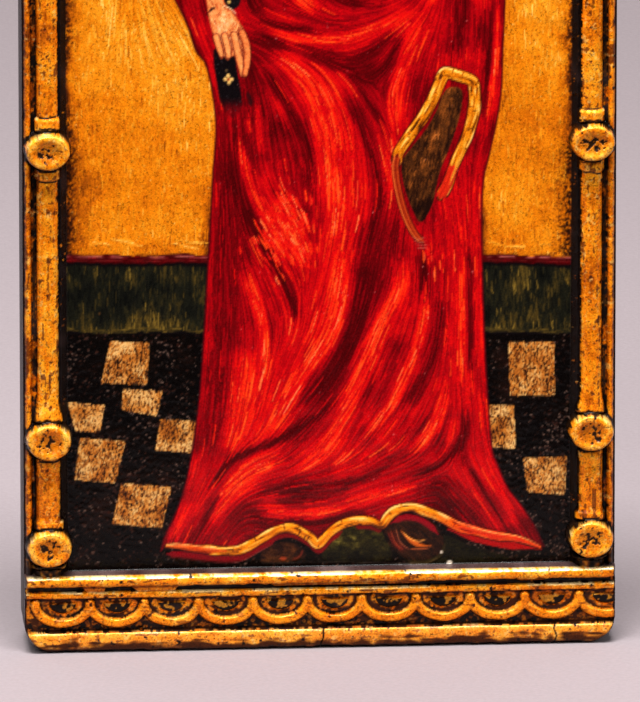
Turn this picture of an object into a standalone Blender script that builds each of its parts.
"""A small panel icon: one board whose carved frame surrounds a sunk picture field.

Metres, +Z up, the front towards -Y. The origin is the middle of the box's underside.
A level is a height over the flat back of the board, measured towards the front.
"""

import math

import bmesh
import bpy
from mathutils import Matrix, Vector

OBJECT_NAME = "icon_panel"

# The blank that the work is carved from
PANEL_WIDTH = 0.150
PANEL_HEIGHT = 0.260
PANEL_DEPTH = 0.021
CORNER_RADIUS = 0.0066
CORNER_SEGMENTS = 6
BACK_EDGE = 0.0006
EDGE_ROLL_DEPTH = 0.0045
EDGE_ROLL_INSET = 0.0013
EDGE_ROLL_STEPS = 4

# The sunk field and the ground of the side rails
FIELD_LEVEL = 0.0130
RAIL_LEVEL = 0.0150
RAIL_WIDTH = 0.0096
RECESS_SLOPE = 0.0019

# Side colonnettes
COLUMN_INSET = 0.0063
SHAFT_RADIUS = 0.0027
COLUMN_STEPS = 16
COLLAR_RADIUS = 0.0034
COLLAR_HEIGHT = 0.0022
COLLAR_LAND = 0.0012
WIDE_COLLAR_RADIUS = 0.0040
FOOT_RADIUS = 0.0037
FOOT_HEIGHT = 0.0018
FOOT_SLOPE = 0.0006
COLLAR_GAP = 0.0010

# Knops, measured over the underside. The same heights repeat below the top edge.
LOW_KNOP_HEIGHT = 0.0275
SECOND_KNOP_HEIGHT = 0.0547
KNOP_BASE_RADIUS = 0.0060
KNOP_FACE_RADIUS = 0.0056
KNOP_NECK_RADIUS = 0.0051
KNOP_CREST_RADIUS = 0.0041
KNOP_DIMPLE_RADIUS = 0.0033
KNOP_DIMPLE_DEPTH = 0.0009
KNOP_ROLL_DROP = 0.0021
KNOP_BASE_RISE = 0.0014
KNOP_NECK_RISE = 0.0022
KNOP_FLATTEN = 0.84
KNOP_STEPS = 18

# Outer fillet strip beside each colonnette
STRIP_INSET = 0.0013
STRIP_HALF_WIDTH = 0.0008
STRIP_RISE = 0.0016
STRIP_SIDES = 10

# Plinth, from the underside up. The head moulding is the same, upside down.
FOOT_MOULDING_TOP = 0.0050
FILLET_BOTTOM = 0.0136
FILLET_TOP = 0.0153
TORUS_BOTTOM = 0.0167
LEDGE_HEIGHT = 0.0194
FOOT_MOULDING_LEVEL = 0.0205
FOOT_MOULDING_SWELL = 0.0012
BAND_LEVEL = 0.0174
FILLET_LEVEL = 0.0193
FILLET_SWELL = 0.0005
GROOVE_LEVEL = 0.0176
TORUS_LEVEL = 0.0202
TORUS_SWELL = 0.0012
GROOVE_SLOPE = 0.0002

# Scallop band
SCALLOP_PERIOD = 0.0138
SCALLOP_SHIFT = 0.0042
SCALLOP_TOP = 0.0122
SCALLOP_DROP = 0.0051
SCALLOP_RING_RADIUS = 0.0011
SCALLOP_RING_LEVEL = 0.0180
SCALLOP_POINTS = 13
LUNETTE_HALF_WIDTH = 0.0036
LUNETTE_DROP = 0.0027
LUNETTE_RISE = 0.0008
LUNETTE_POINTS = 9

# How far a shape runs on into what it is joined to, or past what trims it
OVERLAP = 0.0020

BACK_Y = PANEL_DEPTH / 2
MID_HEIGHT = PANEL_HEIGHT / 2
COLUMN_X = PANEL_WIDTH / 2 - COLUMN_INSET
KNOP_HALF_HEIGHT = KNOP_FACE_RADIUS * KNOP_FLATTEN


def clear_scene():
    for old in list(bpy.data.objects):
        bpy.data.objects.remove(old, do_unlink=True)


def new_collection(name):
    group = bpy.data.collections.new(name)
    bpy.context.scene.collection.children.link(group)
    return group


def gilded_wood():
    material = bpy.data.materials.new("gilded_painted_wood")
    material.use_nodes = True
    shader = material.node_tree.nodes["Principled BSDF"]
    shader.inputs["Base Color"].default_value = (0.78, 0.38, 0.05, 1.0)
    shader.inputs["Roughness"].default_value = 0.38
    shader.inputs["Metallic"].default_value = 0.25
    return material


def level_y(level):
    return BACK_Y - level


def add_object(name, mesh, group, helper=True):
    made = bpy.data.objects.new(name, mesh)
    group.objects.link(made)
    if helper:
        made.hide_render = True
        made.display_type = "WIRE"
    return made


def mesh_of(bm, name):
    mesh = bpy.data.meshes.new(name)
    bm.to_mesh(mesh)
    bm.free()
    return mesh


def boolean(target, operation, operand):
    """Adds an exact Boolean with an object, or with all the objects of a collection."""
    modifier = target.modifiers.new(operation.lower(), "BOOLEAN")
    modifier.operation = operation
    modifier.solver = "EXACT"
    if isinstance(operand, bpy.types.Collection):
        modifier.operand_type = "COLLECTION"
        modifier.collection = operand
    else:
        modifier.object = operand


def mesh_from_curve(source, group):
    """Replaces a curve object by a mesh object with welded caps, because a curve takes no Boolean."""
    bpy.context.view_layer.update()
    evaluated = source.evaluated_get(bpy.context.evaluated_depsgraph_get())
    mesh = bpy.data.meshes.new_from_object(evaluated)
    bm = bmesh.new()
    bm.from_mesh(mesh)
    bmesh.ops.remove_doubles(bm, verts=bm.verts, dist=1e-6)
    bmesh.ops.recalc_face_normals(bm, faces=bm.faces)
    bm.to_mesh(mesh)
    bm.free()
    made = add_object(source.name + "_solid", mesh, group)
    made.matrix_world = source.matrix_world.copy()
    bpy.data.objects.remove(source, do_unlink=True)
    return made


def flat_outline(name, points, group, half_thickness, placing, rounding=0.0):
    """An extruded closed outline, drawn in its own X and Y and set into the work by placing."""
    curve = bpy.data.curves.new(name, "CURVE")
    curve.dimensions = "2D"
    curve.fill_mode = "BOTH"
    curve.extrude = half_thickness
    curve.bevel_depth = rounding
    curve.bevel_resolution = 0
    spline = curve.splines.new("POLY")
    spline.points.add(len(points) - 1)
    for point, (x, y) in zip(spline.points, points):
        point.co = (x, y, 0.0, 1.0)
    spline.use_cyclic_u = True
    outline = bpy.data.objects.new(name, curve)
    group.objects.link(outline)
    outline.matrix_world = placing
    return mesh_from_curve(outline, group)


def turned(name, profile, steps, group):
    """A profile of (radius, height) points, top to bottom, turned about its own Z."""
    bm = bmesh.new()
    rows = [bm.verts.new((radius, 0.0, height)) for radius, height in profile]
    for above, below in zip(rows, rows[1:]):
        bm.edges.new((above, below))
    made = add_object(name, mesh_of(bm, name), group)
    screw = made.modifiers.new("turn", "SCREW")
    screw.steps = steps
    screw.render_steps = steps
    screw.use_merge_vertices = True
    screw.merge_threshold = 1e-5
    return made


def box(name, low, high, group):
    """A box between two corners, given as (x, level, z)."""
    size = Vector((high[0] - low[0], high[1] - low[1], high[2] - low[2]))
    middle_level = (low[1] + high[1]) / 2
    centre = Vector(((low[0] + high[0]) / 2, level_y(middle_level), (low[2] + high[2]) / 2))
    bm = bmesh.new()
    bmesh.ops.create_cube(bm, size=1.0, matrix=Matrix.Translation(centre) @ Matrix.Diagonal((*size, 1.0)))
    return add_object(name, mesh_of(bm, name), group)


def face_towards(bm, way):
    return max(bm.faces, key=lambda face: face.calc_center_median().dot(way))


def draw_in(bm, way, distance, inset):
    """Extrudes the outermost face by a distance and draws its outline in on each side."""
    face = face_towards(bm, way)
    grown = bmesh.ops.extrude_face_region(bm, geom=[face])
    bmesh.ops.delete(bm, geom=[face], context="FACES_ONLY")
    verts = [item for item in grown["geom"] if isinstance(item, bmesh.types.BMVert)]
    wide = max(v.co.x for v in verts) - min(v.co.x for v in verts)
    high = max(v.co.z for v in verts) - min(v.co.z for v in verts)
    middle = Matrix.Translation((0.0, 0.0, MID_HEIGHT))
    shrink = Matrix.Diagonal((1 - 2 * inset / wide, 1.0, 1 - 2 * inset / high, 1.0))
    bmesh.ops.transform(bm, matrix=middle @ shrink @ middle.inverted(), verts=verts)
    bmesh.ops.translate(bm, vec=way * distance, verts=verts)


def blank():
    """The uncarved board: round corners, a small back edge and a long roll at the front edge."""
    straight = PANEL_DEPTH - BACK_EDGE - EDGE_ROLL_DEPTH
    centre = Vector((0.0, level_y(BACK_EDGE + straight / 2), MID_HEIGHT))
    size = Matrix.Diagonal((PANEL_WIDTH, straight, PANEL_HEIGHT, 1.0))
    bm = bmesh.new()
    bmesh.ops.create_cube(bm, size=1.0, matrix=Matrix.Translation(centre) @ size)
    corners = [e for e in bm.edges if abs((e.verts[1].co - e.verts[0].co).normalized().y) > 0.9]
    bmesh.ops.bevel(
        bm, geom=corners, offset=CORNER_RADIUS, segments=CORNER_SEGMENTS, profile=0.5, affect="EDGES"
    )
    front = Vector((0.0, -1.0, 0.0))
    draw_in(bm, -front, BACK_EDGE, BACK_EDGE)
    angles = [math.pi / 2 * k / EDGE_ROLL_STEPS for k in range(EDGE_ROLL_STEPS + 1)]
    for before, after in zip(angles, angles[1:]):
        distance = EDGE_ROLL_DEPTH * (math.sin(after) - math.sin(before))
        inset = EDGE_ROLL_INSET * (math.cos(before) - math.cos(after))
        draw_in(bm, front, distance, inset)
    bmesh.ops.recalc_face_normals(bm, faces=bm.faces)
    return mesh_of(bm, OBJECT_NAME)


def ground(group):
    """The rails' ground, wider than the blank, with the picture field sunk into it."""
    half = PANEL_WIDTH / 2
    slab = box(
        "ground",
        (-half - OVERLAP, -OVERLAP, -OVERLAP),
        (half + OVERLAP, RAIL_LEVEL, PANEL_HEIGHT + OVERLAP),
        group,
    )
    return slab


def field_cutter(group):
    """The sunk field: its floor is the field, and its sides slope out to the rails' ground."""
    foot = PANEL_WIDTH / 2 - RAIL_WIDTH - RECESS_SLOPE
    sink = RAIL_LEVEL - FIELD_LEVEL
    spread = RECESS_SLOPE * (sink + OVERLAP) / sink
    inner_end = LEDGE_HEIGHT - OVERLAP
    high = PANEL_HEIGHT - 2 * inner_end
    bm = bmesh.new()
    centre = Vector((0.0, level_y(FIELD_LEVEL + (sink + OVERLAP) / 2), MID_HEIGHT))
    size = Matrix.Diagonal((2 * foot, sink + OVERLAP, high, 1.0))
    bmesh.ops.create_cube(bm, size=1.0, matrix=Matrix.Translation(centre) @ size)
    mouth = face_towards(bm, Vector((0.0, -1.0, 0.0)))
    widen = Matrix.Diagonal(((foot + spread) / foot, 1.0, 1.0, 1.0))
    bmesh.ops.transform(bm, matrix=widen, verts=mouth.verts)
    return add_object("field_cutter", mesh_of(bm, "field_cutter"), group)


def swelling(bottom, top, level, swell, steps):
    """A half-oval moulding as (level, height) points, upwards between two heights."""
    middle, half = (bottom + top) / 2, (top - bottom) / 2
    points = []
    for k in range(steps + 1):
        angle = math.pi * k / steps
        points.append((level - swell * (1 - math.sin(angle)), middle - half * math.cos(angle)))
    return points


def moulding_outline():
    """The plinth's section as (level, height) points, upwards from deep in the ground."""
    deep = FIELD_LEVEL - OVERLAP
    outline = [(deep, -OVERLAP), (FOOT_MOULDING_LEVEL - FOOT_MOULDING_SWELL, -OVERLAP)]
    outline += swelling(0.0, FOOT_MOULDING_TOP, FOOT_MOULDING_LEVEL, FOOT_MOULDING_SWELL, 4)
    outline += [(BAND_LEVEL, FOOT_MOULDING_TOP + GROOVE_SLOPE), (BAND_LEVEL, FILLET_BOTTOM - GROOVE_SLOPE)]
    outline += swelling(FILLET_BOTTOM, FILLET_TOP, FILLET_LEVEL, FILLET_SWELL, 2)
    outline += [(GROOVE_LEVEL, FILLET_TOP + GROOVE_SLOPE), (GROOVE_LEVEL, TORUS_BOTTOM - GROOVE_SLOPE)]
    outline += swelling(TORUS_BOTTOM, LEDGE_HEIGHT, TORUS_LEVEL, TORUS_SWELL, 4)
    return outline + [(deep, LEDGE_HEIGHT)]


def moulding(name, at_head, group):
    """The plinth, or the head moulding that mirrors it, as one section run across the panel."""
    section = moulding_outline()
    if at_head:
        section = [(level, PANEL_HEIGHT - height) for level, height in section]
    columns = Matrix(((0.0, 0.0, -1.0), (-1.0, 0.0, 0.0), (0.0, 1.0, 0.0))).to_4x4()
    placing = Matrix.Translation((0.0, BACK_Y, 0.0)) @ columns
    return flat_outline(name, section, group, PANEL_WIDTH / 2 + OVERLAP, placing)


def collar(height, radius):
    """A small ring round the shaft, as profile points from its foot up."""
    return [
        (SHAFT_RADIUS, height - COLLAR_HEIGHT / 2),
        (radius, height - COLLAR_LAND / 2),
        (radius, height + COLLAR_LAND / 2),
        (SHAFT_RADIUS, height + COLLAR_HEIGHT / 2),
    ]


def beside_knop(knop_height, side):
    """Where a collar sits over (side 1) or under (side -1) a knop."""
    return knop_height + side * (KNOP_HALF_HEIGHT + COLLAR_GAP + COLLAR_HEIGHT / 2)


def column_profile():
    """The colonnette's turned profile, from its foot in the plinth to its head."""
    low, second, middle = LOW_KNOP_HEIGHT, SECOND_KNOP_HEIGHT, MID_HEIGHT
    lower_half = [
        (0.0, LEDGE_HEIGHT - OVERLAP),
        (FOOT_RADIUS, LEDGE_HEIGHT - OVERLAP),
        (FOOT_RADIUS, LEDGE_HEIGHT + FOOT_HEIGHT),
        (SHAFT_RADIUS, LEDGE_HEIGHT + FOOT_HEIGHT + FOOT_SLOPE),
    ]
    lower_half += collar(beside_knop(low, 1), WIDE_COLLAR_RADIUS)
    lower_half += collar(beside_knop(second, -1), COLLAR_RADIUS)
    lower_half += collar(beside_knop(second, 1), WIDE_COLLAR_RADIUS)
    lower_half += collar(beside_knop(middle, -1), COLLAR_RADIUS)
    upper_half = [(radius, PANEL_HEIGHT - height) for radius, height in reversed(lower_half)]
    return list(reversed(lower_half + upper_half))


def quarter_oval(start, end, steps):
    """Points from a level start down to an upright end, both as (radius, height)."""
    points = []
    for k in range(steps + 1):
        angle = math.pi / 2 * k / steps
        radius = start[0] + (end[0] - start[0]) * math.sin(angle)
        points.append((radius, end[1] + (start[1] - end[1]) * math.cos(angle)))
    return points


def knop_profile():
    """A knop's turned profile from the middle of its dimpled face down to its hidden foot."""
    top = PANEL_DEPTH - RAIL_LEVEL
    dish = []
    for k in range(4):
        depth = KNOP_DIMPLE_DEPTH * (1 + math.cos(math.pi * k / 3)) / 2
        dish.append((KNOP_DIMPLE_RADIUS * k / 3, top - depth))
    roll = quarter_oval((KNOP_CREST_RADIUS, top), (KNOP_FACE_RADIUS, top - KNOP_ROLL_DROP), 3)
    foot = [
        (KNOP_NECK_RADIUS, KNOP_NECK_RISE),
        (KNOP_BASE_RADIUS, KNOP_BASE_RISE),
        (KNOP_BASE_RADIUS, -OVERLAP),
        (0.0, -OVERLAP),
    ]
    return dish + roll + foot


def knop(name, x, z, group):
    """One knop, turned about the axis that faces the viewer and slightly flattened in height."""
    made = turned(name, knop_profile(), KNOP_STEPS, group)
    facing = Matrix.Rotation(math.pi / 2, 4, "X")
    flatten = Matrix.Diagonal((1.0, 1.0, KNOP_FLATTEN, 1.0))
    made.matrix_world = Matrix.Translation((x, level_y(RAIL_LEVEL), z)) @ flatten @ facing
    return made


def strip(name, x, group):
    """The thin outer fillet, a bar of oval section beside the colonnette."""
    long = PANEL_HEIGHT - 2 * (LEDGE_HEIGHT - OVERLAP)
    bm = bmesh.new()
    bmesh.ops.create_cone(
        bm, cap_ends=True, segments=STRIP_SIDES, radius1=1.0, radius2=1.0, depth=1.0
    )
    size = Matrix.Diagonal((STRIP_HALF_WIDTH, STRIP_RISE, long, 1.0))
    bmesh.ops.transform(bm, matrix=size, verts=bm.verts)
    made = add_object(name, mesh_of(bm, name), group)
    made.location = (x, level_y(RAIL_LEVEL), MID_HEIGHT)
    return made


def scallop(name, x, group):
    """One hanging ring of the band: a bar on a half oval."""
    curve = bpy.data.curves.new(name, "CURVE")
    curve.dimensions = "3D"
    curve.bevel_depth = SCALLOP_RING_RADIUS
    curve.bevel_resolution = 2
    curve.use_fill_caps = True
    spline = curve.splines.new("POLY")
    spline.points.add(SCALLOP_POINTS - 1)
    for k, point in enumerate(spline.points):
        angle = math.pi * k / (SCALLOP_POINTS - 1)
        across = -math.cos(angle) * SCALLOP_PERIOD / 2
        point.co = (across, 0.0, -math.sin(angle) * SCALLOP_DROP, 1.0)
    ring = bpy.data.objects.new(name, curve)
    group.objects.link(ring)
    ring.location = (x, level_y(SCALLOP_RING_LEVEL), SCALLOP_TOP)
    return mesh_from_curve(ring, group)


def lunette(name, x, group):
    """The low half disc that fills a scallop."""
    points = []
    for k in range(LUNETTE_POINTS):
        angle = math.pi * k / (LUNETTE_POINTS - 1)
        points.append((-math.cos(angle) * LUNETTE_HALF_WIDTH, -math.sin(angle) * LUNETTE_DROP))
    upright = Matrix.Rotation(math.pi / 2, 4, "X")
    placing = Matrix.Translation((x, level_y(BAND_LEVEL), SCALLOP_TOP)) @ upright
    rounding = LUNETTE_RISE / 2
    return flat_outline(name, points, group, LUNETTE_RISE - rounding, placing, rounding)


def scallop_centres():
    """Centres of the scallops whose middle lies on the panel, from left to right."""
    most = int(PANEL_WIDTH / SCALLOP_PERIOD) + 1
    places = [SCALLOP_SHIFT + k * SCALLOP_PERIOD for k in range(-most, most + 1)]
    return [x for x in places if abs(x) < PANEL_WIDTH / 2]


def raised_work(group):
    """All that stands over the ground, as separate overlapping solids."""
    moulding("plinth", False, group)
    moulding("head", True, group)
    heights = (LOW_KNOP_HEIGHT, SECOND_KNOP_HEIGHT, MID_HEIGHT)
    heights += (PANEL_HEIGHT - SECOND_KNOP_HEIGHT, PANEL_HEIGHT - LOW_KNOP_HEIGHT)
    for side, sign in (("left", -1), ("right", 1)):
        column = turned("column_" + side, column_profile(), COLUMN_STEPS, group)
        column.location = (sign * COLUMN_X, level_y(RAIL_LEVEL), 0.0)
        strip("strip_" + side, sign * (PANEL_WIDTH / 2 - STRIP_INSET), group)
        for number, height in enumerate(heights, 1):
            knop(f"knop_{side}_{number}", sign * COLUMN_X, height, group)
    for number, x in enumerate(scallop_centres(), 1):
        scallop(f"scallop_{number}", x, group)
        lunette(f"lunette_{number}", x, group)


def main():
    clear_scene()
    parts = new_collection(OBJECT_NAME)
    cutters = new_collection("cutters")
    raised = new_collection("raised_work")
    raised_work(raised)
    carving = ground(cutters)
    boolean(carving, "DIFFERENCE", field_cutter(cutters))
    boolean(carving, "UNION", raised)
    panel = add_object(OBJECT_NAME, blank(), parts, helper=False)
    boolean(panel, "INTERSECT", carving)
    panel.data.materials.append(gilded_wood())
    panel.data.set_sharp_from_angle(angle=math.radians(30))


main()
